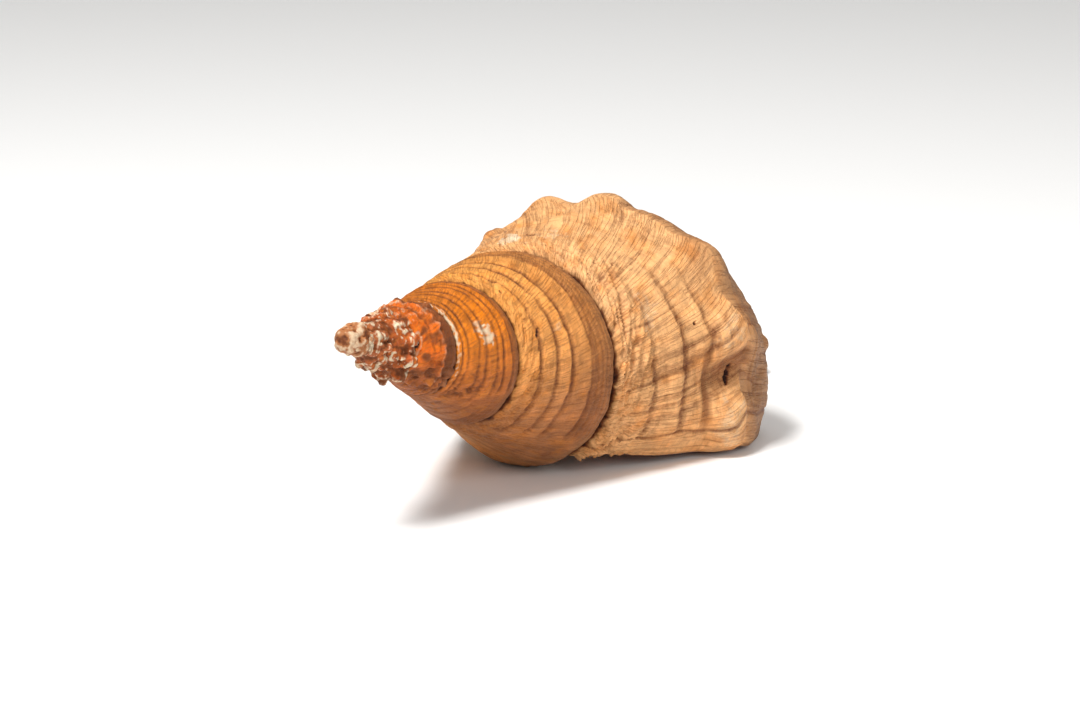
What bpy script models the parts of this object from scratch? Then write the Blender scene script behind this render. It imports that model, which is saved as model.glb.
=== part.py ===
"""Horse conch: a large spired sea snail shell, grown as one piece, lying with its aperture down.

Metres, +Z up, canal towards +X, spire towards -X. The shell is a cone that was wound up: one growing
edge turns about the axis, widens by a fixed factor each turn and slides down it. All lengths below are
millimetres in the shell's own frame, whose Z runs from the apex to the canal.
"""

import math

import bmesh
import bpy
import numpy as np
from mathutils import Matrix, Vector

MM = 0.001

# growth: the radius and depth of the suture where the angle is zero, and their growth in one turn
SUTURE_RADIUS = 37.4
SUTURE_DEPTH = 127.4
RADIUS_GROWTH = 1.545
DEPTH_GROWTH = 1.565
LIP_ANGLE = 73.0
WHORLS = 6
STEPS_PER_TURN = 72

# the growing edge below the suture: radius and depth, both over the suture's radius
EDGE = [(1.0, 0.0), (1.09, 0.22), (1.23, 0.60), (1.38, 1.05), (1.51, 1.43), (1.575, 1.72)]
EDGE += [(1.565, 1.98), (1.49, 2.30), (1.30, 2.56), (1.03, 2.78), (0.75, 2.98)]

# the columella and canal: radius and depth one turn before the lip, and at the lip
CANAL = [((15.0, 176.8), (22.0, 266.6)), ((11.0, 193.8), (18.0, 274.4)), ((8.5, 224.4), (15.6, 282.8))]
CANAL += [((6.8, 261.8), (14.0, 292.2)), ((5.5, 301.6), (13.0, 301.6))]

# the edge lags behind its upper end by this angle, so the growth lines lean back
LAG_ANGLE = 40.0
LAG_DONE = 4.6
SUTURE_PLACE = 5.7
SPIRE_ROWS = [0.0, 1.0, 2.0, 3.0, 4.0, 4.9, 5.7]
BODY_ROWS = [5.7, 6.4, 7.2, 8.0, 9.0, 10.0, 11.0, 12.0, 13.0, 14.0, 15.0]

# knobs on the shoulder of the last turn: angle, height over the suture's radius, half width in degrees
SHOULDER = 4.9
KNOBS = [(-150, 0.07, 9), (-127, 0.08, 8), (-103, 0.18, 9), (-79, 0.17, 9), (-60, 0.08, 7)]
KNOBS += [(-36, 0.16, 9), (-4, 0.13, 10), (12, -0.05, 8), (28, 0.13, 9)]
KNOB_ABOVE, KNOB_BELOW = 1.5, 1.3

# nodules on the early whorls
NODULES_PER_TURN = 9.5
NODULE_HEIGHT = 0.34
EARLY_SWELL = 0.16
TIP_RINGS = [(0.78, 3.6), (0.45, 0.9)]
TIP_DEPTH = 0.0

# the hollow: wall at the lip, thin callus on the columella, how far it is followed inwards
WALL = 4.4
CANAL_WALL = 1.8
CALLUS = 0.9
HOLLOW_TURNS = 2.7
HOLLOW_FLOOR = 9.5
HOLLOW_STEP = 12.0
HOLLOW_STEP_DEEP = 20.0
CANAL_OPEN_TURNS = 0.10
CANAL_SHUT_TURNS = 0.30

# pits left by worms and wear: turns before the lip, place on the edge, half sizes round and down, depth
PITS = [(0.083, 4.0, 1.7, 2.6, 2.4), (0.39, 2.0, 1.9, 0.8, 1.2), (4.08, 4.8, 1.3, 1.3, 1.2)]

# the way down when it lies on its body, its lip and its canal
DOWN = Vector((-0.1281, 0.9653, 0.2275)).normalized()

TURN = 2.0 * math.pi
LAST = WHORLS * STEPS_PER_TURN
LAG_STEPS = round(LAG_ANGLE / 360.0 * STEPS_PER_TURN)
FIRST_OPEN = LAST - STEPS_PER_TURN + LAG_STEPS


def lag(place):
    """The angle by which this place on the edge trails the suture."""
    return -math.radians(LAG_ANGLE) * min(max(place / LAG_DONE, 0.0), 1.0) ** 0.75


def suture(angle):
    """Radius and depth of the upper suture at this angle."""
    turns = angle / TURN
    return SUTURE_RADIUS * RADIUS_GROWTH**turns, SUTURE_DEPTH * DEPTH_GROWTH**turns


def edge_controls(angle, before_lip):
    """The growing edge's control points at this angle, as radius and depth."""
    radius, depth = suture(angle)
    points = [(r * radius, depth + z * radius) for r, z in EDGE]
    share = min(max(before_lip + 1.0, -1.0), 1.05)
    for (r0, z0), (r1, z1) in CANAL:
        points.append((r0 * (r1 / r0) ** share, z0 * (z1 / z0) ** share))
    return points


def along(points, place):
    """A smooth curve through the points, read at this place."""
    here = min(max(int(math.floor(place)), 0), len(points) - 2)
    u = place - here
    p1, p2 = np.array(points[here]), np.array(points[here + 1])
    p0 = np.array(points[here - 1]) if here > 0 else 2 * p1 - p2
    p3 = np.array(points[here + 2]) if here + 2 < len(points) else 2 * p2 - p1
    bend = (2 * p0 - 5 * p1 + 4 * p2 - p3) * u * u + (3 * p1 - p0 - 3 * p2 + p3) * u**3
    return 0.5 * (2 * p1 + (p2 - p0) * u + bend)


def rise(angle, place, before_lip):
    """How far knobs and nodules stand out, over the suture's radius."""
    spread = KNOB_ABOVE if place < SHOULDER else KNOB_BELOW
    bell = math.exp(-(((place - SHOULDER) / spread) ** 2))
    degrees = math.degrees(angle)
    knobs = sum(height * math.exp(-(((degrees - at) / wide) ** 2)) for at, height, wide in KNOBS)
    early = min(max(-before_lip - 3.0, 0.0), 1.0)
    wave = min(max(math.cos(angle * NODULES_PER_TURN + 0.8), -0.2), 1.0)
    nodules = early * NODULE_HEIGHT * wave * math.exp(-(((place - 4.4) / 1.4) ** 2))
    swell = early * EARLY_SWELL * min(place / 2.0, 1.0) * math.exp(-(((place - 3.6) / 2.0) ** 2))
    return knobs * bell + nodules + swell


def shell_point(step, place):
    """A point of the shell's outside: the edge as it was at this growth step, at this place along it."""
    before_lip = (step - LAST) / STEPS_PER_TURN
    angle = math.radians(LIP_ANGLE) + before_lip * TURN + lag(place)
    radius, depth = suture(angle)
    controls = edge_controls(angle, before_lip)
    r, z = along(controls, place)
    r += rise(angle, place, before_lip) * radius
    # a covered whorl runs down to meet the next suture, which the open part of the last one doesn't
    covered = 1.0 - min(max((step - FIRST_OPEN) / 14.0, 0.0), 1.0)
    end_r, end_z = along(controls, SUTURE_PLACE)
    next_radius, next_depth = suture(angle + TURN)
    end_r += rise(angle, SUTURE_PLACE, before_lip) * radius
    part = min(place / SUTURE_PLACE, 1.0)
    fade = 1.0 - min(max((place - SUTURE_PLACE) / 4.0, 0.0), 1.0)
    near = min(max((part - 0.80) / 0.20, 0.0), 1.0) ** 2
    r += covered * near * fade * (next_radius - end_r)
    z += covered * part**4 * fade * (next_depth - end_z)
    return np.array((r * math.cos(angle), r * math.sin(angle), z))


def outward(step, place):
    """The outside's unit normal at this point."""
    across = shell_point(step, place + 0.02) - shell_point(step, place - 0.02)
    round_axis = shell_point(step + 0.05, place) - shell_point(step - 0.05, place)
    normal = np.cross(round_axis, across)
    return normal / np.linalg.norm(normal)


def wrapped_strip(bm, first_step, last_step, places):
    """A flat grid of growth steps and places on the edge, with each corner moved on to the shell."""
    steps, rows = last_step - first_step, len(places) - 1
    made = bmesh.ops.create_grid(bm, x_segments=steps, y_segments=rows, size=1.0)
    for vert in made["verts"]:
        column = round((vert.co.x + 1.0) / 2.0 * steps)
        row = round((vert.co.y + 1.0) / 2.0 * rows)
        vert.co = shell_point(first_step + column, places[row])


def vert_at(bm, point):
    """The corner nearest to this point."""
    return min(bm.verts, key=lambda vert: (vert.co - Vector(point)).length_squared)


def loft(bm, one, other):
    """Triangles between two rows of corners of unlike length, taking the shorter diagonal each time."""
    i, j = 0, 0
    while i < len(one) - 1 or j < len(other) - 1:
        step_one = (one[i + 1].co - other[j].co).length if i < len(one) - 1 else math.inf
        step_other = (one[i].co - other[j + 1].co).length if j < len(other) - 1 else math.inf
        if step_one <= step_other:
            corners = [one[i], one[i + 1], other[j]]
            i += 1
        else:
            corners = [one[i], other[j + 1], other[j]]
            j += 1
        if len(set(corners)) == 3:
            bm.faces.new(corners)


def grow_outside():
    """The whole outside, closed over the aperture, at the canal's end and at the tip."""
    bm = bmesh.new()
    wrapped_strip(bm, 0, LAST, SPIRE_ROWS)
    wrapped_strip(bm, FIRST_OPEN, LAST, BODY_ROWS)
    bmesh.ops.remove_doubles(bm, verts=bm.verts, dist=0.01)
    lip = [vert_at(bm, shell_point(LAST, place)) for place in SPIRE_ROWS + BODY_ROWS[1:]]
    inner = [vert_at(bm, shell_point(FIRST_OPEN, place)) for place in BODY_ROWS]
    canal_end = [vert_at(bm, shell_point(step, BODY_ROWS[-1])) for step in range(FIRST_OPEN, LAST + 1)]
    loft(bm, lip, inner)
    bm.faces.new(canal_end)
    rim = [edge for edge in bm.edges if edge.is_boundary]
    for share, depth in TIP_RINGS:
        grown = bmesh.ops.extrude_edge_only(bm, edges=rim)["geom"]
        ring = [item for item in grown if isinstance(item, bmesh.types.BMVert)]
        rim = [item for item in grown if isinstance(item, bmesh.types.BMEdge) and item.is_boundary]
        bmesh.ops.scale(bm, vec=(share, share, 0.3), verts=ring)
        middle = sum(vert.co.z for vert in ring) / len(ring)
        bmesh.ops.translate(bm, vec=(0.0, 0.0, depth - middle), verts=ring)
    cap = bmesh.ops.contextual_create(bm, geom=rim)["faces"][0]
    centre = bmesh.ops.poke(bm, faces=[cap])["verts"][0]
    centre.co = (0.0, 0.0, TIP_DEPTH)
    bmesh.ops.recalc_face_normals(bm, faces=bm.faces)
    return bm


def hollow_section(step):
    """One closed outline of the hollow: down inside the outer wall, then back up along the columella."""
    before_lip = (step - LAST) / STEPS_PER_TURN
    shut = (-before_lip - CANAL_OPEN_TURNS) / (CANAL_SHUT_TURNS - CANAL_OPEN_TURNS)
    shut = min(max(shut, 0.0), 1.0)
    lowest = 15.6 * (1.0 - shut) + HOLLOW_FLOOR * shut
    thinner = RADIUS_GROWTH ** (1.7 * before_lip)
    points = []
    for share in np.linspace(0.0, 1.0, 12):
        place = 1.1 + share * (lowest - 1.1)
        point = shell_point(step, min(place, 15.0))
        wall = WALL + (CANAL_WALL - WALL) * min(max((place - 9.5) / 2.5, 0.0), 1.0)
        inset = point - wall * thinner * outward(step, min(place, 14.9))
        inset[2] += max(place - 15.0, 0.0) * 10.0
        points.append(inset)
    for share in np.linspace(1.0, 0.0, 8):
        place = 6.4 + share * (lowest - 6.4)
        behind = step - STEPS_PER_TURN + LAG_STEPS
        point = shell_point(behind, min(place, 15.0))
        proud = point + CALLUS * thinner * outward(behind, min(place, 14.9))
        proud[2] += max(place - 15.0, 0.0) * 10.0
        points.append(proud)
    return points


def grow_hollow():
    """The hollow's cutter: its outline followed from just outside the lip inwards."""
    bm = bmesh.new()
    steps = [LAST + 2.0]
    while steps[-1] > LAST - HOLLOW_TURNS * STEPS_PER_TURN:
        degrees = HOLLOW_STEP if steps[-1] > LAST - 0.6 * STEPS_PER_TURN else HOLLOW_STEP_DEEP
        steps.append(steps[-1] - degrees / 360.0 * STEPS_PER_TURN)
    rings = [[bm.verts.new(point) for point in hollow_section(step)] for step in steps]
    for ring, following in zip(rings, rings[1:]):
        for i in range(len(ring)):
            j = (i + 1) % len(ring)
            bm.faces.new([ring[i], ring[j], following[j], following[i]])
    bm.faces.new(rings[0])
    bm.faces.new(rings[-1][::-1])
    bmesh.ops.recalc_face_normals(bm, faces=bm.faces)
    if bm.calc_volume(signed=True) < 0.0:
        bmesh.ops.reverse_faces(bm, faces=bm.faces)
    return bm


def sink_pits():
    """The pits' cutter: one small ball for each, flattened and set into the surface."""
    bm = bmesh.new()
    for turns, place, half_round, half_down, depth in PITS:
        step = LAST - turns * STEPS_PER_TURN
        normal = outward(step, place)
        down = shell_point(step, place + 0.02) - shell_point(step, place - 0.02)
        down /= np.linalg.norm(down)
        sideways = np.cross(down, normal)
        axes = np.stack([sideways * half_round, down * half_down, normal * depth], axis=1)
        ball = bmesh.ops.create_icosphere(bm, subdivisions=2, radius=1.0)["verts"]
        for vert in ball:
            vert.co = shell_point(step, place) + axes @ np.array(vert.co)
    bmesh.ops.recalc_face_normals(bm, faces=bm.faces)
    return bm


def rest_turn():
    """The turn from the shell's own frame to how it lies, with the canal towards +X."""
    up = -DOWN
    ahead = Vector((0.0, 0.0, 1.0))
    ahead = (ahead - ahead.dot(up) * up).normalized()
    return Matrix((ahead, up.cross(ahead), up)).to_4x4()


def new_object(name, bm, collection, place):
    bm.transform(place)
    bmesh.ops.triangulate(bm, faces=bm.faces)
    mesh = bpy.data.meshes.new(name)
    bm.to_mesh(mesh)
    bm.free()
    made = bpy.data.objects.new(name, mesh)
    collection.objects.link(made)
    return made


def main():
    for old in list(bpy.data.objects):
        bpy.data.objects.remove(old, do_unlink=True)
    shell_collection = bpy.data.collections.new("horse_conch")
    cutter_collection = bpy.data.collections.new("cutters")
    bpy.context.scene.collection.children.link(shell_collection)
    bpy.context.scene.collection.children.link(cutter_collection)
    cutter_collection.hide_render = True

    outside = grow_outside()
    turned = rest_turn() @ Matrix.Scale(MM, 4)
    corners = [turned @ vert.co for vert in outside.verts]
    low = Vector([min(corner[axis] for corner in corners) for axis in range(3)])
    high = Vector([max(corner[axis] for corner in corners) for axis in range(3)])
    middle = (low + high) / 2.0
    place = Matrix.Translation((-middle.x, -middle.y, -low.z)) @ turned

    shell = new_object("conch_shell", outside, shell_collection, place)
    for name, cutter_shape in (("hollow", grow_hollow()), ("pits", sink_pits())):
        cutter = new_object(name, cutter_shape, cutter_collection, place)
        cutter.hide_render = True
        cutter.display_type = "WIRE"
        cut = shell.modifiers.new("cut_" + name, "BOOLEAN")
        cut.operation = "DIFFERENCE"
        cut.solver = "EXACT"
        cut.object = cutter

    calcite = bpy.data.materials.new("calcite")
    calcite.use_nodes = True
    surface = calcite.node_tree.nodes["Principled BSDF"]
    surface.inputs["Base Color"].default_value = (0.56, 0.30, 0.13, 1.0)
    surface.inputs["Roughness"].default_value = 0.5
    shell.data.materials.append(calcite)


main()
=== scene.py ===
import math

import bmesh
import bpy
import numpy as np
from mathutils import Matrix, Vector


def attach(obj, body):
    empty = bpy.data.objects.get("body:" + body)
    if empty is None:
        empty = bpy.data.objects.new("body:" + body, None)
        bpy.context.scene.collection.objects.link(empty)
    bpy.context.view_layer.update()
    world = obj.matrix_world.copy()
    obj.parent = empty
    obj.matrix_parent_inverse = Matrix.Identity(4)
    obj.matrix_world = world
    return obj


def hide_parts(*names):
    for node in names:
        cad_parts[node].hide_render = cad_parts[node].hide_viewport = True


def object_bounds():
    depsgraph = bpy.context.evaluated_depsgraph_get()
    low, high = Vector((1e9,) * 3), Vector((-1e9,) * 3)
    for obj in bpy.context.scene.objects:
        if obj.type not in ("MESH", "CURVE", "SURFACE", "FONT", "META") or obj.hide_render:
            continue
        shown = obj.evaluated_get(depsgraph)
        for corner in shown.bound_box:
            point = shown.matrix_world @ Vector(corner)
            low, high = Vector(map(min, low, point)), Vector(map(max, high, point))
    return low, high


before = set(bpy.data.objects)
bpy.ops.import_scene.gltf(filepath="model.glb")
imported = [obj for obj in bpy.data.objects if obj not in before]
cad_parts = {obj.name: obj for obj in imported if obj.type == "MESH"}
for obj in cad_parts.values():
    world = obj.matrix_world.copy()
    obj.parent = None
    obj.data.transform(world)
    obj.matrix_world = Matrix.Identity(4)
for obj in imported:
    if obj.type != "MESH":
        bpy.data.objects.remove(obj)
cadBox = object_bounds()

# The shell's own frame: millimetres, Z from the apex to the canal, angles round that axis.
# A place on the growing edge runs from 0 at the upper suture past 5.7 at the lower one to 15 at the canal's end.
# Turns count growth: 0 at the lip, negative towards the apex.

growth = {
    "sutureRadius": 37.4,
    "sutureDepth": 127.4,
    "radiusGrowth": 1.545,
    "depthGrowth": 1.565,
    "lipAngle": 73.0,
    "lagAngle": 40.0,
    "lagDone": 4.6,
    "edge": [(1.0, 0.0), (1.09, 0.22), (1.23, 0.60), (1.38, 1.05), (1.51, 1.43), (1.575, 1.72),
             (1.565, 1.98), (1.49, 2.30), (1.30, 2.56), (1.03, 2.78), (0.75, 2.98)],
    "canal": [((15.0, 176.8), (22.0, 266.6)), ((11.0, 193.8), (18.0, 274.4)), ((8.5, 224.4), (15.6, 282.8)),
              ((6.8, 261.8), (14.0, 292.2)), ((5.5, 301.6), (13.0, 301.6))],
    "openFrom": -64.0 / 72.0,
    "coverFade": 14.0 / 72.0,
    "lowerSuture": 5.7,
    "wayDown": (-0.1281, 0.9653, 0.2275),
}

# knobs on the last shoulder: angle, height over the suture's radius, half width in degrees
knobs = {
    "shoulder": 4.9,
    "above": 1.5,
    "below": 1.3,
    "list": [(-150, 0.07, 9), (-127, 0.08, 8), (-103, 0.18, 9), (-79, 0.17, 9), (-60, 0.08, 7),
             (-36, 0.16, 9), (-4, 0.13, 10), (12, -0.05, 8), (28, 0.13, 9)],
    "nodulesPerTurn": 9.5,
    "noduleHeight": 0.34,
    "earlySwell": 0.16,
}

fullTurn = 2.0 * math.pi


def smoothStep(low, high, value):
    share = np.clip((value - low) / (high - low), 0.0, 1.0)
    return share * share * (3.0 - 2.0 * share)


def bell(value, middle, width):
    return np.exp(-(((value - middle) / width) ** 2))


def flatBell(value, middle, width):
    return np.exp(-(((value - middle) / width) ** 4))


def lumpNoise(points, seed):
    # noise in space, from three soft noises on the three planes
    x, y, z = points.T + 50.0
    return (softNoise(x, y, seed) + softNoise(y, z, seed + 1) + softNoise(z, x, seed + 2)) / 1.6


def softNoise(x, y, seed):
    # smooth random values from -1 to 1 on a repeating table
    table = np.random.default_rng(seed).random((128, 128)) * 2.0 - 1.0
    column, row = np.floor(x).astype(int), np.floor(y).astype(int)
    u, v = x - column, y - row
    u, v = u * u * (3.0 - 2.0 * u), v * v * (3.0 - 2.0 * v)
    a, b = table[column % 128, row % 128], table[(column + 1) % 128, row % 128]
    c, d = table[column % 128, (row + 1) % 128], table[(column + 1) % 128, (row + 1) % 128]
    return (a * (1 - u) + b * u) * (1 - v) + (c * (1 - u) + d * u) * v


def layeredNoise(x, y, seed, layers=3):
    total, size = 0.0, 1.0
    for layer in range(layers):
        total = total + softNoise(x / size, y / size, seed + layer) * size
        size *= 0.5
    return total / 1.75


def lagAt(place):
    return -math.radians(growth["lagAngle"]) * np.clip(place / growth["lagDone"], 0.0, 1.0) ** 0.75


def sutureAt(angle):
    turns = angle / fullTurn
    radius = growth["sutureRadius"] * growth["radiusGrowth"] ** turns
    return radius, growth["sutureDepth"] * growth["depthGrowth"] ** turns


def curveThrough(points, place):
    stack = np.array(points)
    stack = np.concatenate([[2 * stack[0] - stack[1]], stack, [2 * stack[-1] - stack[-2]]])
    here = np.clip(np.floor(place).astype(int), 0, len(points) - 2)
    u = (place - here)[:, None]
    each = np.arange(len(place))
    p0, p1, p2, p3 = (stack[here + k, :, each] for k in range(4))
    bend = (2 * p0 - 5 * p1 + 4 * p2 - p3) * u * u + (3 * p1 - p0 - 3 * p2 + p3) * u**3
    return 0.5 * (2 * p1 + (p2 - p0) * u + bend)


def riseAt(angle, place, turns):
    # knobs on the shoulder and nodules on the early whorls, over the suture's radius
    spread = np.where(place < knobs["shoulder"], knobs["above"], knobs["below"])
    degrees = np.degrees(angle)
    height = sum(up * bell(degrees, at, wide) for at, up, wide in knobs["list"])
    early = np.clip(-turns - 3.0, 0.0, 1.0)
    wave = np.clip(np.cos(angle * knobs["nodulesPerTurn"] + 0.8), -0.2, 1.0)
    nodules = early * knobs["noduleHeight"] * wave * bell(place, 4.4, 1.4)
    swell = early * knobs["earlySwell"] * np.clip(place / 2.0, 0.0, 1.0) * bell(place, 3.6, 2.0)
    return height * bell(place, knobs["shoulder"], spread) + nodules + swell


def shellSurface(turns, place):
    # the plain surface: where the growing edge stood at this time, at this place along it
    angle = math.radians(growth["lipAngle"]) + turns * fullTurn + lagAt(place)
    radius, depth = sutureAt(angle)
    points = [(r * radius, depth + z * radius) for r, z in growth["edge"]]
    share = np.clip(turns + 1.0, -1.0, 1.05)
    for (r0, z0), (r1, z1) in growth["canal"]:
        points.append((r0 * (r1 / r0) ** share, z0 * (z1 / z0) ** share))
    curve = curveThrough(points, place)
    end = curveThrough(points, np.full_like(place, growth["lowerSuture"]))
    r = curve[:, 0] + riseAt(angle, place, turns) * radius
    endR = end[:, 0] + riseAt(angle, np.full_like(place, growth["lowerSuture"]), turns) * radius
    nextR, nextZ = sutureAt(angle + fullTurn)
    covered = 1.0 - np.clip((turns - growth["openFrom"]) / growth["coverFade"], 0.0, 1.0)
    part = np.minimum(place / growth["lowerSuture"], 1.0)
    fade = covered * (1.0 - np.clip((place - growth["lowerSuture"]) / 4.0, 0.0, 1.0))
    near = np.clip((part - 0.80) / 0.20, 0.0, 1.0) ** 2
    r = r + fade * near * (nextR - endR)
    z = curve[:, 1] + fade * part**4 * (nextZ - end[:, 1])
    return np.stack([r * np.cos(angle), r * np.sin(angle), z], axis=1)


def outwardAt(turns, place):
    across = shellSurface(turns, place + 0.02) - shellSurface(turns, place - 0.02)
    along = shellSurface(turns + 0.0005, place) - shellSurface(turns - 0.0005, place)
    normal = np.cross(along, across)
    return normal / np.linalg.norm(normal, axis=1, keepdims=True)


def localSize(turns, place):
    # 1 at the lip, smaller on the earlier whorls
    return growth["radiusGrowth"] ** (turns + lagAt(place) / fullTurn)


relief = {
    "sutureStep": 0.5,       # mm that a whorl's upper edge stands proud of the whorl before
    "crease": 1.5,           # depth in mm of the crevice under that edge
    "growthRidge": 0.62,
    "growthCut": 0.20,
    "undulation": 0.75,
    "wrinkle": 1.8,
    "ridgesPerTurn": 62.0,
    "cutsPerTurn": 40.0,
    "fineCutsPerTurn": 98.0,
    "ribsPerTurn": 15.0,     # on the fourth whorl
    "ribHeight": 0.5,
    "oldLip": (-0.030, 0.0022, 0.7),    # turns, half turns and depth of the line where growth stopped for a time
    "crust": 0.75,           # mm of lumps on the early whorls
    "crustSize": 1.9,        # mm across such a lump
    # spiral grooves: from turns, to turns, places, depth, width
    "grooves": [(-2.0, -0.93, (1.45, 2.2, 2.8, 3.75), 1.0, 0.085), (-2.0, -0.93, (4.1, 4.42, 4.75, 5.1), 0.5, 0.06),
                (-3.0, -1.97, (0.85, 1.35, 2.15, 2.6, 3.35, 3.8, 4.5), 1.15, 0.11),
                (-4.0, -2.97, (2.4, 3.6), 0.9, 0.16),
                (-0.90, -0.02, (0.9, 1.25, 2.0, 2.85, 3.55, 3.85), 0.16, 0.06),
                (-0.35, -0.02, (5.2, 5.5, 5.8, 6.1, 6.5), 0.22, 0.06),
                (-0.88, -0.02, (7.2, 7.8, 8.5, 9.2, 10.0, 10.8, 11.6, 12.4), 0.28, 0.10)],
    # spiral steps, slowly up and sharply down: from turns, to turns, place, height
    "steps": [(-0.32, -0.02, 1.62, 1.2), (-0.30, -0.02, 2.48, 1.7), (-0.28, -0.10, 3.15, 1.8),
              (-0.13, -0.02, 4.42, 1.3), (-1.9, -0.95, 1.38, 0.5), (-1.9, -0.95, 2.12, 0.6),
              (-1.9, -0.95, 2.72, 0.6), (-1.9, -0.95, 3.68, 0.9), (-2.9, -1.97, 4.5, 0.7),
              (-3.8, -2.97, 4.4, 0.9)],
    # shallow hollows: turns, place, half turns, half place, depth, and brown, partly the shell's own colour and
    # partly painted shade
    "hollows": [(-0.084, 4.1, 0.014, 1.05, 1.8, 0.8), (-0.075, 3.26, 0.045, 0.13, 1.1, 0.8),
                (-0.20, 4.6, 0.02, 0.9, 0.5, 0.35), (-0.06, 5.6, 0.05, 0.8, 0.3, 0.4),
                (-0.24, 5.4, 0.03, 0.6, 0.0, 0.4),
                (-0.44, 4.4, 0.010, 0.30, -1.6, 0.4), (-0.10, 6.8, 0.007, 0.25, -1.2, 0.0),
                (-0.07, 6.2, 0.006, 0.30, 1.2, 0.5)],
    # flat-topped knobs with a sharp outer edge: turns, half turns, from place, to place, height
    "plateaus": [(-0.031, 0.029, 3.42, 4.44, 2.8), (-0.122, 0.021, 3.38, 4.50, 2.8),
                 (-0.205, 0.022, 3.9, 4.7, 0.9)],
    "pitLean": 0.8,          # how far a pit leans along the growth lines
    # holes and pits: turns, place, half size round, half size down, depth in mm, pale ring
    "pits": [(-0.075, 4.08, 3.0, 1.4, 1.9, 0.0), (-0.39, 2.0, 2.3, 0.6, 1.4, 0.2),
             (-3.175, 0.62, 1.5, 1.4, 0.8, 0.4), (-1.18, 1.45, 1.7, 0.55, 0.9, 0.0),
             (-0.29, 1.4, 0.9, 0.7, 0.7, 0.0), (-0.27, 1.9, 0.7, 1.0, 0.6, 0.0),
             (-0.15, 3.0, 0.8, 0.7, 0.8, 0.0), (-0.40, 1.2, 0.8, 0.6, 0.6, 0.4), (-5.61, 3.6, 1.0, 1.0, 0.9, 0.3),
             (-1.22, 1.1, 0.8, 1.0, 0.6, 0.0), (-1.30, 0.9, 0.7, 0.8, 0.5, 0.0)],
    # worn pale patches: turns, place, half turns, half place, share
    "patches": [(-2.15, 2.8, 0.030, 0.50, 0.75), (-2.18, 2.4, 0.022, 0.4, 0.6), (-0.42, 1.6, 0.022, 0.7, 0.7),
                (-1.17, 2.5, 0.02, 0.3, 0.3), (-2.24, 0.36, 0.17, 0.30, 0.75), (-0.19, 1.9, 0.03, 0.5, 0.3),
                (-0.36, 1.9, 0.02, 0.5, 0.3), (-0.120, 3.95, 0.020, 0.55, 0.28), (-0.030, 3.98, 0.030, 0.55, 0.30)],
    # bands of deeper brown, partly the shell's own colour and partly painted shade where a whorl turns away beyond
    # its shoulder; the last one is painted shade on the strip beyond the last shoulder: from turns, to turns, from
    # place, to place, share
    "bands": [(-1.98, -0.96, 2.85, 3.75, 0.25), (-1.98, -0.96, 3.8, 6.3, 0.60), (-3.0, -1.98, 4.5, 6.3, 0.60),
              (-4.0, -2.98, 3.7, 6.3, 0.9), (-0.028, 0.05, 0.0, 8.0, 0.06), (-0.30, 0.0, 4.62, 9.0, 0.32)],
}


def lineShare(x, y, seed, width):
    # thin uneven lines, where a soft noise passes through zero
    return np.exp(-((layeredNoise(x, y, seed) / width) ** 2))


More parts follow.
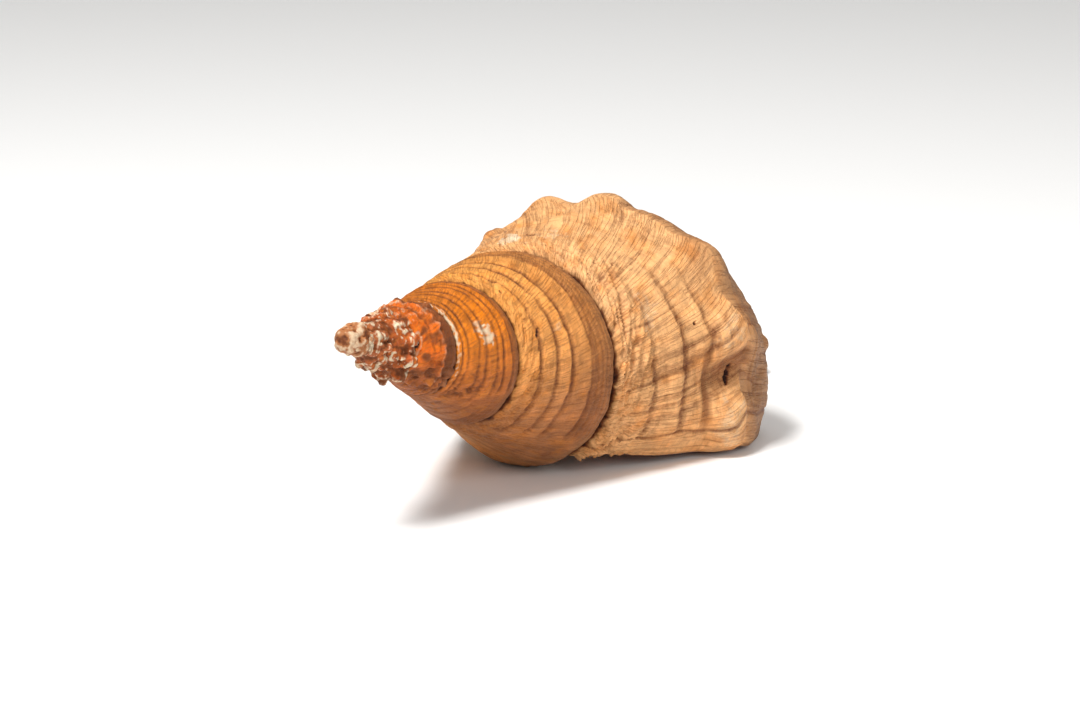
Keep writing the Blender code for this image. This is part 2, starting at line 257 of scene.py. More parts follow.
def reliefAt(turns, place, points):
    # small relief in mm along the outward normal, and the dirt with painted shade, the wear, and the brown with
    # painted shade that go with it, 0 to 1
    flat = place * 0.0
    lastWhorl = smoothStep(-1.0, -0.8, turns)
    early = smoothStep(-3.05, -3.7, turns)
    covered = 1.0 - smoothStep(growth["openFrom"] - 0.02, growth["openFrom"] + 0.06, turns)
    size = localSize(turns, place)

    # the upper edge stands a little proud above an uneven crevice
    ragged = 1.0 + 0.5 * softNoise(turns * 46.0, place * 2.0, 11) + 0.4 * softNoise(turns * 130.0, place * 2.0, 12)
    edge = relief["sutureStep"] * (2.0 * smoothStep(0.06, 0.30, place) - smoothStep(0.3, 1.5, place)) * ragged
    wander = 0.06 * softNoise(turns * 52.0, flat, 13) + 0.04 * softNoise(turns * 140.0, flat, 14)
    height = edge - 1.7 * (1.0 - smoothStep(0.0, 0.16, place + wander))
    height = height - relief["crease"] * smoothStep(5.42, 5.68, place + wander) * covered
    height = height - covered * 2.0 * np.clip(place - 5.75, 0.0, 0.6)
    # painted shade: dark in the crevice under the upper edge and beside the lower suture
    creviceShade = 0.35 * smoothStep(5.28, 5.50, place + wander) + 0.8 * smoothStep(5.50, 5.64, place + wander)
    creviceShade = creviceShade * covered + 1.15 - 1.15 * smoothStep(0.04, 0.22, place + wander)

    # growth lines: ridges and cuts that follow the growing edge
    wobble = 0.30 * softNoise(turns * 9.0, place * 0.45, 3) + 0.10 * softNoise(turns * 30.0, place * 1.4, 4)
    ridges = layeredNoise(turns * relief["ridgesPerTurn"] + wobble, place * 0.22, 21, 2)
    cuts = lineShare(turns * relief["cutsPerTurn"] + wobble, place * 0.10, 24, 0.060)
    small = lineShare(turns * relief["fineCutsPerTurn"] + 2.0 * wobble, place * 0.22, 27, 0.11)
    strong = (0.55 + 0.6 * lastWhorl) * (1.0 - early)
    height = height + (relief["growthRidge"] * ridges - relief["growthCut"] * (cuts + 0.6 * small)) * strong
    swell = 0.6 * softNoise(turns * 11.0, place * 0.9, 31) + 0.7 * softNoise(turns * 23.0, place * 0.4, 32)
    height = height + relief["undulation"] * swell * (1.0 - early)
    # darker along the cuts and in the valleys between the ridges
    lines = 0.30 * cuts + 0.15 * small + 0.15 * smoothStep(-0.05, -0.55, ridges)
    dirtAndShade = lines * (0.35 + 0.65 * lastWhorl) * (1.0 - early)

    for start, end, places, deep, wide in relief["grooves"]:
        along = smoothStep(start, start + 0.12, turns) * (1.0 - smoothStep(end - 0.03, end, turns))
        for at in places:
            middle = at + 0.09 * softNoise(turns * 13.0, flat + at, 41)
            middle = middle + 0.03 * softNoise(turns * 60.0, flat + at, 42)
            cut = bell(place, middle, wide) * along * (0.75 + 0.35 * softNoise(turns * 21.0, flat + at * 3.0, 43))
            height = height - deep * cut + 0.45 * deep * bell(place, middle + 2.2 * wide, 1.6 * wide) * along
            # painted shade in each groove, darker the deeper the groove
            dirtAndShade = dirtAndShade + (0.12 + 0.62 * deep) * cut
    for start, end, at, up in relief["steps"]:
        along = smoothStep(start, start + 0.15, turns) * (1.0 - smoothStep(end - 0.02, end, turns))
        middle = at + 0.12 * softNoise(turns * 16.0, flat + at, 45) + 0.04 * softNoise(turns * 70.0, flat + at, 46)
        broken = along * (0.85 + 0.3 * softNoise(turns * 12.0, flat + at * 2.0, 47))
        tooth = smoothStep(middle - 0.55, middle, place) * (1.0 - smoothStep(middle, middle + 0.14, place))
        height = height + up * tooth * broken
        # painted shade at the foot of the step's sharp drop
        dirtAndShade = dirtAndShade + 0.42 * up * bell(place, middle + 0.15, 0.09) * broken

    # crumpled wrinkles beside the suture of the two last whorls
    slant, down = turns * 64.0 + place * 5.4, place * 0.9 - turns * 11.0
    crumple = 1.0 - 2.6 * np.abs(layeredNoise(slant, down, 51))
    nearSuture = smoothStep(-2.0, -1.7, turns) * (1.0 - smoothStep(1.0, 2.2, place)) * smoothStep(0.1, 0.35, place)
    height = height + relief["wrinkle"] * crumple * nearSuture * (0.75 + 0.4 * smoothStep(-0.6, -0.2, turns))
    # painted shade in the wrinkles' valleys
    dirtAndShade = dirtAndShade + 0.6 * smoothStep(0.1, -0.9, crumple) * nearSuture

    at, halfTurns, deep = relief["oldLip"]
    oldLip = bell(turns, at + 0.0025 * softNoise(place * 1.5, flat, 61), halfTurns)
    height = height - deep * oldLip * smoothStep(0.2, 1.0, place)
    dirtAndShade = dirtAndShade + 0.6 * oldLip

    # crust on the early whorls, in three sizes, rubbed pale where it stands out
    pebbles = lumpNoise(points / relief["crustSize"] * 2.3, 74)
    grit = lumpNoise(points / relief["crustSize"] * 4.7, 87)
    lumps = lumpNoise(points / relief["crustSize"], 71) + 0.55 * pebbles
    height = height * size + relief["crust"] * (lumps + 0.25) * early * smoothStep(0.0, 0.5, place)
    wear = 0.95 * smoothStep(0.0, 0.8, 0.45 * lumps + 0.5 * pebbles + 0.4 * grit) * early
    # darker in the low spots between the lumps
    dirtAndShade = dirtAndShade + 0.8 * smoothStep(0.0, -0.7, lumps) * early
    # broken ribs and a spiral ridge on the fourth whorl
    fourth = smoothStep(-4.2, -3.8, turns) * (1.0 - smoothStep(-2.98, -2.90, turns))
    bent = 2.4 * softNoise(turns * 19.0, place * 0.7, 77)
    waves = np.cos((turns + 3.11) * relief["ribsPerTurn"] * fullTurn + bent)
    height = height + relief["ribHeight"] * (waves + 0.8 * pebbles) * fourth * bell(place, 3.4, 1.6)
    # two rough patches at the lower left, with crust
    rough = bell(turns, -2.0, 0.05) * bell(place, 1.8, 1.4)
    rough = rough + 1.4 * bell(turns, -2.95, 0.07) * smoothStep(0.3, 1.0, place)
    height = height + relief["crust"] * lumps * rough
    ridge = bell(place, 3.45, 0.28) * fourth
    height = height + 0.7 * ridge
    wear = wear + 0.12 * smoothStep(-5.2, -5.7, turns) + 0.22 * ridge
    # darker in the low spots between the lumps
    dirtAndShade = dirtAndShade + 0.8 * smoothStep(0.1, -0.6, lumps) * np.minimum(rough, 1.0)

    blotch = softNoise(turns * 26.0, place * 1.1, 78)
    brownAndShade = 0.8 * fourth * smoothStep(0.0, 0.8, 0.8 * blotch - 0.4 * waves - 0.3 * lumps)
    for at, where, halfTurns, halfPlace, deep, share in relief["hollows"]:
        hollow = flatBell(turns, at, halfTurns) * flatBell(place, where, halfPlace)
        height = height - deep * hollow
        # the hollows' brown is partly the shell's colour and partly painted shade
        brownAndShade = np.maximum(brownAndShade, share * hollow)
    for at, halfTurns, low, high, up in relief["plateaus"]:
        outer = high + 0.08 * softNoise(turns * 60.0, flat, 48)
        top = smoothStep(low - 0.10, low + 0.45, place)
        top = top * (1.0 - smoothStep(outer, outer + 0.20, place))
        height = height + up * top * flatBell(turns, at, halfTurns)
    # bands near the lower sutures are partly painted shade beyond each shoulder
    for start, end, low, high, share in relief["bands"]:
        fray = place + 0.12 * softNoise(turns * 30.0, place * 3.0, 81)
        inside = smoothStep(start, start + 0.006, turns) * (1.0 - smoothStep(end, end + 0.03, turns))
        inside = inside * smoothStep(low - 0.08, low + 0.08, fray)
        inside = inside * (1.0 - smoothStep(high - 0.05, high + 0.2, fray))
        brownAndShade = np.maximum(brownAndShade, share * inside)
    for at, where, halfTurns, halfPlace, share in relief["patches"]:
        frayed = layeredNoise(turns * 150.0, place * 4.0, 85)
        reach = np.hypot((turns - at) / halfTurns, (place - where) / halfPlace) + 0.9 * frayed
        wear = wear + share * (1.0 - smoothStep(0.3, 1.15, reach))
        height = height + 0.25 * share * frayed * (1.0 - smoothStep(0.5, 1.1, reach)) * size

    dirtAndShade = np.minimum(dirtAndShade, 0.72) + creviceShade
    for at, where, halfRound, halfDown, deep, ring in relief["pits"]:
        one = np.array([at]), np.array([where])
        middle = shellSurface(*one)[0]
        down = shellSurface(one[0], one[1] + 0.02)[0] - shellSurface(one[0], one[1] - 0.02)[0]
        down = down / np.linalg.norm(down)
        side = np.cross(down, outwardAt(*one)[0])
        apart = points - middle
        across = apart @ down + relief["pitLean"] * (apart @ side)
        reach = np.hypot(apart @ side / halfRound, across / halfDown)
        # a pit reaches no further than 10 mm, so that it leaves the shell's far side whole
        reach = np.where((apart**2).sum(axis=1) < 100.0, reach, 9.0)
        reach = reach + 0.18 * softNoise(apart @ side, apart @ down, 91)
        height = height - deep * (1.0 - smoothStep(0.5, 1.1, reach)) + 0.3 * ring * bell(reach, 1.6, 0.4)
        # painted shade in the pits: black in a deep hole, brown in a shallow one
        pitShade = 1.3 if deep > 0.75 else 0.6      # black in a hole, brown in a shallow pit
        dirtAndShade = dirtAndShade * (1.0 - ring * bell(reach, 1.6, 0.5)) + pitShade * (1.0 - smoothStep(0.75, 1.1, reach))
        wear = wear * (reach > 1.0) + ring * bell(reach, 1.6, 0.45)
    return height, {"dirtAndShade": np.clip(dirtAndShade, 0.0, 1.5), "wear": np.clip(wear, 0.0, 1.0), "brownAndShade": brownAndShade}


# the wall's thickness in mm, and how many turns inwards the lining is drawn
wall = {"lip": 3.4, "inside": 4.4, "canal": 1.8, "callus": 0.9, "deep": -0.86, "canalFade": (13.5, 14.8)}

# the places of the mesh's rows, close together beside the sutures
rowsAbove = np.concatenate([[0.0, 0.03, 0.06, 0.10, 0.15, 0.21, 0.28], np.linspace(0.35, 5.36, 92),
                            [5.42, 5.48, 5.54, 5.60, 5.66, 5.72, 5.80, 5.90, 6.05, 6.3]])
rowsBelow = np.concatenate([np.linspace(6.36, 10.0, 36), np.linspace(10.16, 15.0, 30)])
rowsAll = np.concatenate([rowsAbove, rowsBelow])


def restingTurn():
    up = -Vector(growth["wayDown"]).normalized()
    ahead = Vector((0.0, 0.0, 1.0))
    ahead = (ahead - ahead.dot(up) * up).normalized()
    return Matrix((ahead, up.cross(ahead), up))


restTurn = restingTurn()
restShift = (-0.14798, 0.00716, 0.07492)                # metres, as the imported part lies
pressedRoom = np.array((0.0015, 0.0015, 0.0006))        # metres beside the box's faces


def toRow(points):
    # from the shell's frame in mm to the row's frame in metres
    placed = points @ np.array(restTurn.to_3x3()).T * 0.001 + np.array(restShift)
    # relief near a face of the part's box is pressed flatter, so that it stays inside the box
    for face, side in ((np.array(cadBox[0]), 1.0), (np.array(cadBox[1]), -1.0)):
        inside = (placed - face) * side
        pressed = pressedRoom * np.exp(np.minimum(inside - pressedRoom, 0.0) / pressedRoom)
        placed = face + side * np.where(inside < pressedRoom, pressed, inside)
    return placed


def gridMesh(name, columns, rows):
    # a flat grid, with the column and row number of each of its corners
    bm = bmesh.new()
    bmesh.ops.create_grid(bm, x_segments=columns, y_segments=rows, size=1.0)
    mesh = bpy.data.meshes.new(name)
    bm.to_mesh(mesh)
    bm.free()
    flat = np.zeros(len(mesh.vertices) * 3)
    mesh.vertices.foreach_get("co", flat)
    flat = flat.reshape(-1, 3)
    column = np.rint((flat[:, 0] + 1.0) / 2.0 * columns).astype(int)
    row = np.rint((flat[:, 1] + 1.0) / 2.0 * rows).astype(int)
    return mesh, column, row


def setValues(mesh, values):
    for name, value in values.items():
        layer = mesh.attributes.new(name, "FLOAT", "POINT")
        layer.data.foreach_set("value", np.ascontiguousarray(value, dtype=np.float32))


def outerStrip(start, end, columns, rows):
    mesh, column, row = gridMesh("strip", columns, len(rows) - 1)
    turns = start + (end - start) * column / columns
    place = rows[row]
    plain = shellSurface(turns, place)
    height, marks = reliefAt(turns, place, plain)
    # the relief dies out at the canal's end
    height = height * (1.0 - smoothStep(*wall["canalFade"], place))
    points = plain + outwardAt(turns, place) * height[:, None]
    # the first half turn is drawn in to a point on the axis
    drawn = np.sqrt(1.0 - np.clip((-6.0 - turns) / 0.5, 0.0, 1.0) ** 2)
    points = points * drawn[:, None] + np.array([0.0, 0.0, 9.5]) * (1.0 - drawn)[:, None]
    mesh.vertices.foreach_set("co", toRow(points).ravel())
    setValues(mesh, {"turns": turns, "place": place, **marks})
    return mesh


def joined(name, meshes, weld):
    bm = bmesh.new()
    for mesh in meshes:
        bm.from_mesh(mesh)
        bpy.data.meshes.remove(mesh)
    bmesh.ops.remove_doubles(bm, verts=bm.verts, dist=weld)
    bmesh.ops.recalc_face_normals(bm, faces=bm.faces)
    mesh = bpy.data.meshes.new(name)
    bm.to_mesh(mesh)
    bm.free()
    return mesh


def facingOut(mesh):
    # turns the whole mesh round if most faces look towards the axis
    axis = np.array(restTurn.to_3x3())[:, 2]
    base = np.array(restShift)
    centres = np.zeros(len(mesh.polygons) * 3)
    normals = np.zeros(len(mesh.polygons) * 3)
    mesh.polygons.foreach_get("center", centres)
    mesh.polygons.foreach_get("normal", normals)
    centres, normals = centres.reshape(-1, 3) - base, normals.reshape(-1, 3)
    away = centres - (centres @ axis)[:, None] * axis
    if (away * normals).sum() < 0:
        mesh.flip_normals()


wornTip = {
    # middle and half sizes in mm, and the seed of the lumps
    "balls": [((0.0, -0.4, 6.6), (4.5, 4.8, 6.4), 5), ((0.0, -0.9, 10.6), (5.5, 6.0, 5.0), 6)],
    "lumpSizes": (1.7, 0.8),
    "unevenness": 0.12,
    "wear": 0.5625,
}


def tipBalls():
    # the worn first whorl, as three uneven balls over the start of the strip
    made = []
    side = shellSurface(np.array([-6.0]), np.array([3.2]))[0]
    balls = wornTip["balls"] + [(tuple(side * (0.5, 0.5, 1.0)), (3.5, 3.5, 4.0), 7)]
    for middle, size, seed in balls:
        bm = bmesh.new()
        bmesh.ops.create_icosphere(bm, subdivisions=5, radius=1.0)
        mesh = bpy.data.meshes.new("ball")
        bm.to_mesh(mesh)
        bm.free()
        ball = np.zeros(len(mesh.vertices) * 3)
        mesh.vertices.foreach_get("co", ball)
        ball = ball.reshape(-1, 3)
        coarse, fine = (ball * np.array(size) / across for across in wornTip["lumpSizes"])
        lumps = lumpNoise(coarse, seed) + 0.5 * lumpNoise(fine, seed + 9)
        points = ball * (1.0 + wornTip["unevenness"] * lumps)[:, None] * np.array(size) + np.array(middle)
        mesh.vertices.foreach_set("co", toRow(points).ravel())
        count = len(points)
        # darker in the low spots between the lumps, paler where they stand out
        setValues(mesh, {"turns": np.full(count, -5.9), "place": np.full(count, 3.0),
                         "wear": wornTip["wear"] * smoothStep(-0.3, 0.5, lumps),
                         "dirtAndShade": 0.9 * smoothStep(-0.2, -0.7, lumps), "brownAndShade": np.zeros(count)})
        made.append(mesh)
    return made


def shellPiece(name, *strips):
    piece = joined(name, [outerStrip(*strip) for strip in strips], 1e-6)
    facingOut(piece)
    return piece


def addObject(name, mesh, material):
    for polygon in mesh.polygons:
        polygon.use_smooth = True
    made = bpy.data.objects.new(name, mesh)
    bpy.context.scene.collection.objects.link(made)
    mesh.materials.append(material)
    return made


def liningMesh():
    # the rounded lip and, behind it, the smooth lining that follows the whorl inwards
    roll, inside = 6, 110
    columns, rows = roll + inside, rowsAll
    mesh, column, row = gridMesh("lining", columns, len(rows) - 1)
    place = rows[row]
    rolled = np.clip(column / roll, 0.0, 1.0)
    turns = wall["deep"] * (np.clip(column - roll, 0, inside) / inside) ** 1.15
    lean = np.clip(place / 1.1, 0.0, 1.0)
    inner = wall["inside"] + (wall["canal"] - wall["inside"]) * np.clip((place - 9.5) / 2.5, 0.0, 1.0)
    edge = np.minimum(wall["lip"], inner)
    deepShare = np.clip(-turns / 0.05, 0.0, 1.0)
    size = localSize(turns, place * 0)
    thick = (edge + (inner - edge) * deepShare) * lean * size ** 1.7
    # beside the suture the lining stays under the crevice
    thick = thick + 2.4 * (1.0 - smoothStep(0.0, 0.5, place)) * size
    plain = shellSurface(turns, place)
    normal = outwardAt(turns, place)
    ahead = shellSurface(turns + 0.0005, place) - shellSurface(turns - 0.0005, place)
    ahead = ahead / np.linalg.norm(ahead, axis=1, keepdims=True)
    height = reliefAt(turns, place, plain)[0] * (1 - smoothStep(*wall["canalFade"], place)) * (1 - rolled)
    sunk = thick * (1 - np.cos(rolled * math.pi)) / 2.0
    forward = thick * 0.30 * np.sin(rolled * math.pi)
    points = plain + normal * (height - sunk)[:, None] + ahead * forward[:, None]
    mesh.vertices.foreach_set("co", toRow(points).ravel())
    setValues(mesh, {"rolled": rolled})
    return mesh


def parietalMesh():
    # the wall of the whorl before, which the aperture shows, under a thin glaze
    rows = np.concatenate([[5.7, 5.8, 6.0, 6.3], rowsBelow])
    columns = 120
    mesh, column, row = gridMesh("parietal", columns, len(rows) - 1)
    start = growth["openFrom"]
    turns = start + wall["deep"] * (1 - column / columns)
    place = rows[row]
    plain = shellSurface(turns, place)
    glaze = wall["callus"] * np.clip((start - turns) / 0.01, 0.0, 1.0) * localSize(turns + 1, place * 0)
    folds = sum(bell(place, at, 0.16) for at in (9.6, 10.3, 11.0)) * 0.9
    # its upper edge is sunk under the crevice
    height = glaze * (1.0 + folds) * smoothStep(5.9, 6.4, place) - 2.6 * (1.0 - smoothStep(5.75, 6.3, place))
    points = plain + outwardAt(turns, place) * height[:, None]
    mesh.vertices.foreach_set("co", toRow(points).ravel())
    setValues(mesh, {"rolled": np.ones(len(place))})
    return mesh


def canalEnd():
    # closes the canal's end: each corner of the last row is drawn in towards the axis
    columns, rows = 640, 8
    mesh, column, row = gridMesh("canalEnd", columns, rows)
    turns = growth["openFrom"] * (1 - column / columns)
    rim = shellSurface(turns, np.full_like(turns, rowsAll[-1]))
    share = row / rows
    # near the lip the rows stop at the wall's thickness, which leaves the canal open
    opening = smoothStep(-0.12, -0.06, turns)
    radius = np.hypot(rim[:, 0], rim[:, 1])
    inner = opening * (radius - wall["canal"]) / radius
    scale = 1.0 - share * (1.0 - inner)
    points = rim.copy()
    points[:, 0] *= scale
    points[:, 1] *= scale
    mesh.vertices.foreach_set("co", toRow(points).ravel())
    setValues(mesh, {"rolled": np.zeros(len(turns))})
    return mesh


def linear(hexColour):
    # sRGB hex to linear colour
    parts = [int(hexColour[i:i + 2], 16) / 255.0 for i in (0, 2, 4)]
    return tuple(p / 12.92 if p <= 0.04045 else ((p + 0.055) / 1.055) ** 2.4 for p in parts) + (1.0,)


def addNode(tree, kind, settings=None, **links):
    # a node with its settings, and its sockets set to values or linked to other nodes' sockets
    node = tree.nodes.new(kind)
    for key, value in (settings or {}).items():
        setattr(node, key, value)
    for key, value in links.items():
        socket = node.inputs[int(key[1:])] if key[0] == "i" and key[1:].isdigit() else node.inputs[key]
        if isinstance(value, bpy.types.NodeSocket):
            tree.links.new(value, socket)
        else:
            socket.default_value = value
    return node


def fillRamp(node, stops):
    ramp = node.color_ramp
    while len(ramp.elements) < len(stops):
        ramp.elements.new(1.0)
    for element, (position, colour) in zip(ramp.elements, stops):
        element.position = position
        element.color = linear(colour)


shellColours = {
    # turns, colour in the middle of the whorl; the darker dips near turns -1.92 and -1.0 are partly the shell's
    # colour and partly painted shade on the lower parts
    "whorls": [(-6.0, "a87a58"), (-5.2, "b46238"), (-4.4, "b4541e"), (-3.7, "a84c14"), (-3.10, "ea6c04"),
               (-2.99, "9c5226"), (-2.7, "a05410"), (-2.36, "bc660c"), (-2.15, "e47c0a"),
               (-2.04, "bc6622"), (-1.92, "8c5028"),
               (-1.7, "b06c30"), (-1.4, "dc9444"), (-1.12, "e49a52"), (-1.02, "b0703e"), (-0.9, "9c643c"),
               (-0.78, "c88a50"), (-0.5, "dba066"), (-0.25, "e2aa72"), (-0.08, "dfa56c"), (0.0, "dea66e")],
    "growthLine": "7a4520",
    "spiralLine": "7c4218",
    # the stain colour is partly dirt and partly painted shade; the near black is painted shade in holes and
    # crevices
    "stainAndShade": "6a3614",
    "holeAndCreviceShade": "2c1006",
    "worn": "e2cdac",
    "brownAndShade": "74401e",
    "caramel": "c8741e",
    # painted shade for each whorl's side beyond its shoulder
    "shadeBeyondShoulder": "9c7652",
}


def shellMaterial():
    # weathered calcite: the brown skin is worn thin, so colour follows growth and rubbed high spots, with painted
    # shade in its grooves, crevices, pits and holes and beyond each shoulder
    material = bpy.data.materials.new("weatheredCalcite")
    material.use_nodes = True
    tree = material.node_tree
    surface = tree.nodes["Principled BSDF"]
    turns, place, dirtAndShade, wear, brownAndShade = (
        addNode(tree, "ShaderNodeAttribute", {"attribute_name": name}).outputs["Fac"]
        for name in ("turns", "place", "dirtAndShade", "wear", "brownAndShade"))
    position = addNode(tree, "ShaderNodeTexCoord").outputs["Object"]
    growthSpace = addNode(tree, "ShaderNodeCombineXYZ", None, X=turns, Y=place).outputs[0]
    share = {}
    # name: stretch over turns and place, detail, narrowness of the lines, most that shows
    for name, stretch, detail, narrow, most in (("growthLine", (190.0, 0.5, 0.0), 2.0, 0.045, 0.40),
                                                ("spiralLine", (10.0, 9.0, 0.0), 2.0, 0.035, 0.16)):
        space = addNode(tree, "ShaderNodeVectorMath", {"operation": "MULTIPLY"}, i0=growthSpace, i1=stretch)
        noise = addNode(tree, "ShaderNodeTexNoise", None, Vector=space.outputs[0], Scale=1.0, Detail=detail)
        level = addNode(tree, "ShaderNodeMath", {"operation": "SUBTRACT"}, i0=noise.outputs["Fac"], i1=0.5)
        away = addNode(tree, "ShaderNodeMath", {"operation": "ABSOLUTE"}, i0=level.outputs[0])
        share[name] = addNode(tree, "ShaderNodeMapRange", None, Value=away.outputs[0], i1=0.0, i2=narrow,
                              i3=most, i4=0.0).outputs[0]
    streaks = addNode(tree, "ShaderNodeVectorMath", {"operation": "MULTIPLY"}, i0=growthSpace, i1=(40.0, 1.1, 0.0))
    clouds = addNode(tree, "ShaderNodeTexNoise", None, Vector=streaks.outputs[0], Scale=1.0, Detail=4.0,
                     Roughness=0.6)
    share["caramel"] = addNode(tree, "ShaderNodeMapRange", None, Value=clouds.outputs["Fac"],
                               i1=0.46, i2=0.70, i3=0.0, i4=0.6).outputs[0]
    share["brownAndShade"] = brownAndShade
    # painted shade on each whorl's side that turns away beyond its shoulder
    share["shadeBeyondShoulder"] = addNode(tree, "ShaderNodeMapRange", None, Value=place, i1=4.5, i2=5.6,
                                 i3=0.0, i4=0.8).outputs[0]
    flecks = addNode(tree, "ShaderNodeTexNoise", None, Vector=position, Scale=620.0, Detail=4.0, Roughness=0.7)
    for name, source, low, high in (("stainAndShade", dirtAndShade, 0.10, 0.85), ("worn", wear, 0.15, 0.9),
                                    ("holeAndCreviceShade", dirtAndShade, 0.85, 1.2)):
        # the edges of the dirt, painted shade and wear are broken up by flecks about 1.5 mm across
        fray = addNode(tree, "ShaderNodeMath", {"operation": "SUBTRACT"}, i0=flecks.outputs["Fac"], i1=0.5)
        total = addNode(tree, "ShaderNodeMath", {"operation": "ADD"}, i0=source, i1=fray.outputs[0])
        edge = addNode(tree, "ShaderNodeMapRange", None, Value=total.outputs[0], i1=low, i2=high)
        gate = addNode(tree, "ShaderNodeMath", {"operation": "MULTIPLY", "use_clamp": True}, i0=source, i1=4.0)
        share[name] = addNode(tree, "ShaderNodeMath", {"operation": "MULTIPLY"}, i0=edge.outputs[0],
                              i1=gate.outputs[0]).outputs[0]

    whorl = addNode(tree, "ShaderNodeMapRange", None, Value=turns, i1=-6.0, i2=0.0)
    base = addNode(tree, "ShaderNodeValToRGB", None, Fac=whorl.outputs[0])
    fillRamp(base, [((at + 6.0) / 6.0, colour) for at, colour in shellColours["whorls"]])
    colour = base.outputs["Color"]
    for name in ("caramel", "shadeBeyondShoulder", "brownAndShade", "spiralLine", "growthLine"):
        colour = addNode(tree, "ShaderNodeMix", {"data_type": "RGBA"}, Factor=share[name], A=colour,
                         B=linear(shellColours[name])).outputs["Result"]
    # uneven patches of skin, about 6 mm across
    mottle = addNode(tree, "ShaderNodeTexNoise", None, Vector=position, Scale=160.0, Detail=6.0, Roughness=0.7)
    shade = addNode(tree, "ShaderNodeMapRange", None, Value=mottle.outputs["Fac"], i1=0.3, i2=0.7, i3=0.70, i4=1.28)
    scaled = addNode(tree, "ShaderNodeVectorMath", {"operation": "SCALE"}, i0=colour, Scale=shade.outputs[0])
    colour = scaled.outputs[0]
    for name in ("worn", "stainAndShade", "holeAndCreviceShade"):
        colour = addNode(tree, "ShaderNodeMix", {"data_type": "RGBA"}, Factor=share[name], A=colour,
                         B=linear(shellColours[name])).outputs["Result"]
    tree.links.new(colour, surface.inputs["Base Color"])

    # bump: the finest growth lines and a chalky grain, drawn at 1.4 mm, coarser than the real one, to show
    lines = addNode(tree, "ShaderNodeMath", {"operation": "MULTIPLY"}, i0=share["growthLine"], i1=-1.0)
    grain = addNode(tree, "ShaderNodeTexNoise", None, Vector=position, Scale=700.0, Detail=4.0, Roughness=0.7)
    both = addNode(tree, "ShaderNodeMath", {"operation": "ADD"}, i0=lines.outputs[0], i1=grain.outputs["Fac"])
    bump = addNode(tree, "ShaderNodeBump", None, Height=both.outputs[0], Strength=0.9, Distance=0.0006)
    tree.links.new(bump.outputs[0], surface.inputs["Normal"])
    surface.inputs["Roughness"].default_value = 0.55
    surface.inputs["IOR"].default_value = 1.5
    surface.inputs["Specular IOR Level"].default_value = 0.25
    return material


glazeColours = {"rim": "b98a5e", "inside": "dc8a50"}


def liningMaterial():
    # the glazed inside: smooth orange porcelain, paler at the rim
    material = bpy.data.materials.new("orangeGlaze")
    material.use_nodes = True
    tree = material.node_tree
    surface = tree.nodes["Principled BSDF"]
    rolled = addNode(tree, "ShaderNodeAttribute", {"attribute_name": "rolled"}).outputs["Fac"]
    mixed = addNode(tree, "ShaderNodeMix", {"data_type": "RGBA"}, Factor=rolled)
    mixed.inputs["A"].default_value = linear(glazeColours["rim"])
    mixed.inputs["B"].default_value = linear(glazeColours["inside"])
    position = addNode(tree, "ShaderNodeTexCoord").outputs["Object"]
    cloud = addNode(tree, "ShaderNodeTexNoise", None, Vector=position, Scale=45.0, Detail=3.0, Roughness=0.5)
    shade = addNode(tree, "ShaderNodeMapRange", None, Value=cloud.outputs["Fac"], i1=0.3, i2=0.7, i3=0.88, i4=1.1)
    tinted = addNode(tree, "ShaderNodeVectorMath", {"operation": "SCALE"}, Scale=shade.outputs[0])
    tree.links.new(mixed.outputs["Result"], tinted.inputs[0])
    tree.links.new(tinted.outputs[0], surface.inputs["Base Color"])
    surface.inputs["Roughness"].default_value = 0.22
    surface.inputs["IOR"].default_value = 1.53
    return material


print("shell: outside")
calcite = shellMaterial()
glaze = liningMaterial()
opened = growth["openFrom"]
# strips of the surface: from turns, to turns, columns, rows
strips = {
    "shellSpire": [(-6.5, -4.1, 210, rowsAbove), (-4.1, -3.1, 130, rowsAbove), (-3.1, -2.1, 190, rowsAbove),
                   (-2.1, -1.1, 330, rowsAbove)],
    "shellShoulder": [(-1.1, opened, 90, rowsAbove), (opened, 0.0, 640, rowsAbove)],
    "shellBase": [(opened, 0.0, 640, rowsAll[len(rowsAbove) - 1:])],
}
pieces = [addObject(name, shellPiece(name, *parts), calcite) for name, parts in strips.items()]
pieces.append(addObject("wornTip", joined("wornTip", tipBalls(), 1e-7), calcite))
print("shell: lip, lining and canal")
inner = joined("apertureLining", [liningMesh(), parietalMesh(), canalEnd()], 1e-6)
pieces.append(addObject("apertureLining", inner, glaze))
for piece in pieces:
    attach(piece, "root")
    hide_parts("conch_shell")

studio = {
    "floor": "f4f3f1",
    "cameraTurn": 28.8,      # degrees between the shell's axis and the view
    "cameraRoll": 2.0,
    "apexInPhoto": (339.0, 341.0),
    "photoSize": (1080.0, 721.0),
    "pixelSize": 0.34,       # mm at the apex
    "cameraFar": 5000.0,     # pixels from the apex to the camera
    # metres sideways, upwards and towards the camera from the shell, size in metres, watts
    "lights": {"key": (-0.40, 1.2, 0.55, 0.34, 24.5), "fill": (0.7, 0.7, 1.1, 0.8, 7.3),
               "top": (0.1, 1.4, -0.4, 1.0, 4.0)},
    "skyStrength": 0.28,
}


def addFloor():
    bm = bmesh.new()
    bmesh.ops.create_grid(bm, x_segments=1, y_segments=1, size=12.0)
    mesh = bpy.data.meshes.new("floor")
    bm.to_mesh(mesh)
    bm.free()
    floor = bpy.data.objects.new("floor", mesh)
    bpy.context.scene.collection.objects.link(floor)
    material = bpy.data.materials.new("palePaper")
    material.use_nodes = True
    surface = material.node_tree.nodes["Principled BSDF"]
    surface.inputs["Base Color"].default_value = linear(studio["floor"])
    surface.inputs["Roughness"].default_value = 0.9
    mesh.materials.append(material)


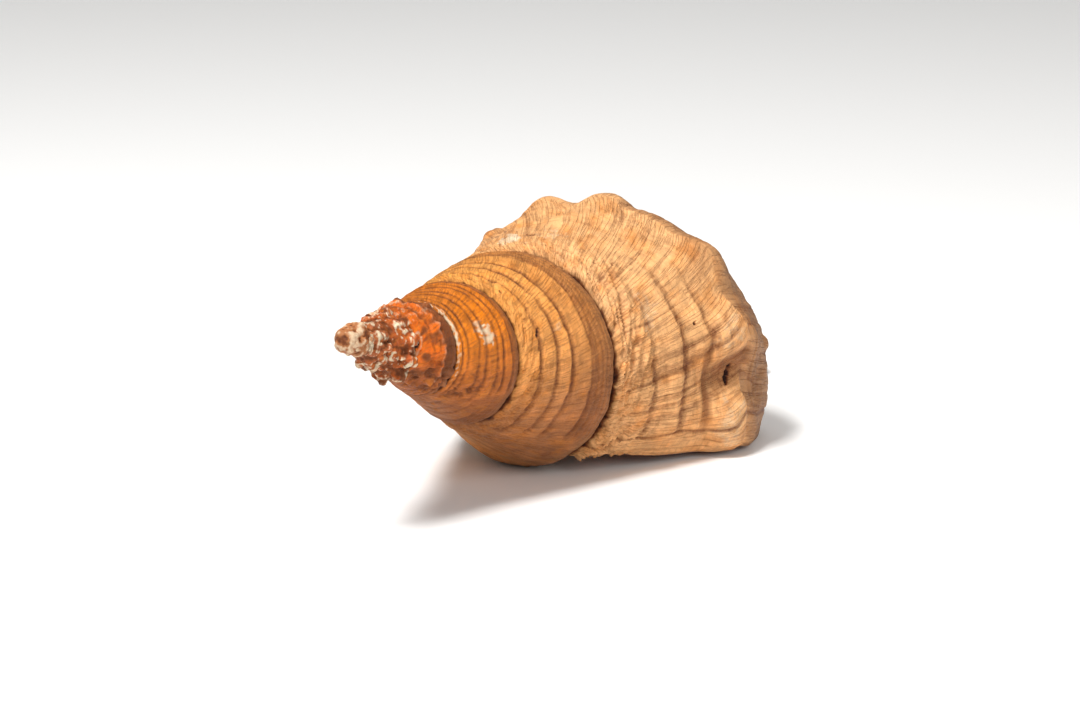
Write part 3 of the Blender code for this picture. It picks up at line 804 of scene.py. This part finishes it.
def addCamera():
    # the camera that was fitted to the whorls: it looks along the shell from the apex's side
    turn, roll = math.radians(studio["cameraTurn"]), math.radians(studio["cameraRoll"])
    axis = Vector((math.sin(turn) * math.cos(roll), math.sin(turn) * math.sin(roll), math.cos(turn)))
    first = Vector((1.0, 0.0, 0.0))
    first = (first - first.dot(axis) * axis).normalized()
    toView = Matrix((first, axis.cross(first), axis)).transposed()
    (across, down), (wide, high) = studio["apexInPhoto"], studio["photoSize"]
    apex = Vector((across - wide / 2.0, down - high / 2.0, studio["cameraFar"]))
    place = toView.transposed() @ (-apex * studio["pixelSize"])
    right, below, ahead = (toView.transposed() @ Vector(v) for v in ((1, 0, 0), (0, 1, 0), (0, 0, 1)))
    turned = restTurn @ Matrix((right, -below, -ahead)).transposed()
    where = restTurn @ place * 0.001 + Vector(restShift)
    data = bpy.data.cameras.new("camera")
    data.sensor_fit = "HORIZONTAL"
    data.sensor_width = 36.0
    data.lens = data.sensor_width * studio["cameraFar"] / wide
    data.clip_start, data.clip_end = 0.01, 50.0
    camera = bpy.data.objects.new("camera", data)
    camera.matrix_world = Matrix.Translation(where) @ turned.to_4x4()
    bpy.context.scene.collection.objects.link(camera)
    bpy.context.scene.camera = camera
    return camera


def addLight(name, camera, sideways, upwards, back, size, power):
    # a soft square lamp, placed from the camera's point of view and aimed at the shell
    data = bpy.data.lights.new(name, "AREA")
    data.size = size
    data.energy = power
    lamp = bpy.data.objects.new(name, data)
    turned = camera.matrix_world.to_3x3()
    level = turned @ Vector((1.0, 0.0, 0.0))
    level.z = 0.0
    level.normalize()
    towards = Vector((-level.y, level.x, 0.0))
    target = Vector((0.0, 0.0, 0.045))
    spot = target + level * sideways - towards * back + Vector((0.0, 0.0, upwards))
    aim = (target - spot).to_track_quat("-Z", "Y")
    lamp.matrix_world = Matrix.Translation(spot) @ aim.to_matrix().to_4x4()
    bpy.context.scene.collection.objects.link(lamp)


print("studio")
addFloor()
camera = addCamera()
for name, setup in studio["lights"].items():
    addLight(name, camera, *setup)
world = bpy.data.worlds.new("studioWorld")
world.use_nodes = True
background = world.node_tree.nodes["Background"]
background.inputs["Color"].default_value = linear("ffffff")
background.inputs["Strength"].default_value = studio["skyStrength"]
bpy.context.scene.world = world
# the plain view keeps the shell's oranges as strong as its colours say
bpy.context.scene.view_settings.view_transform = "Standard"
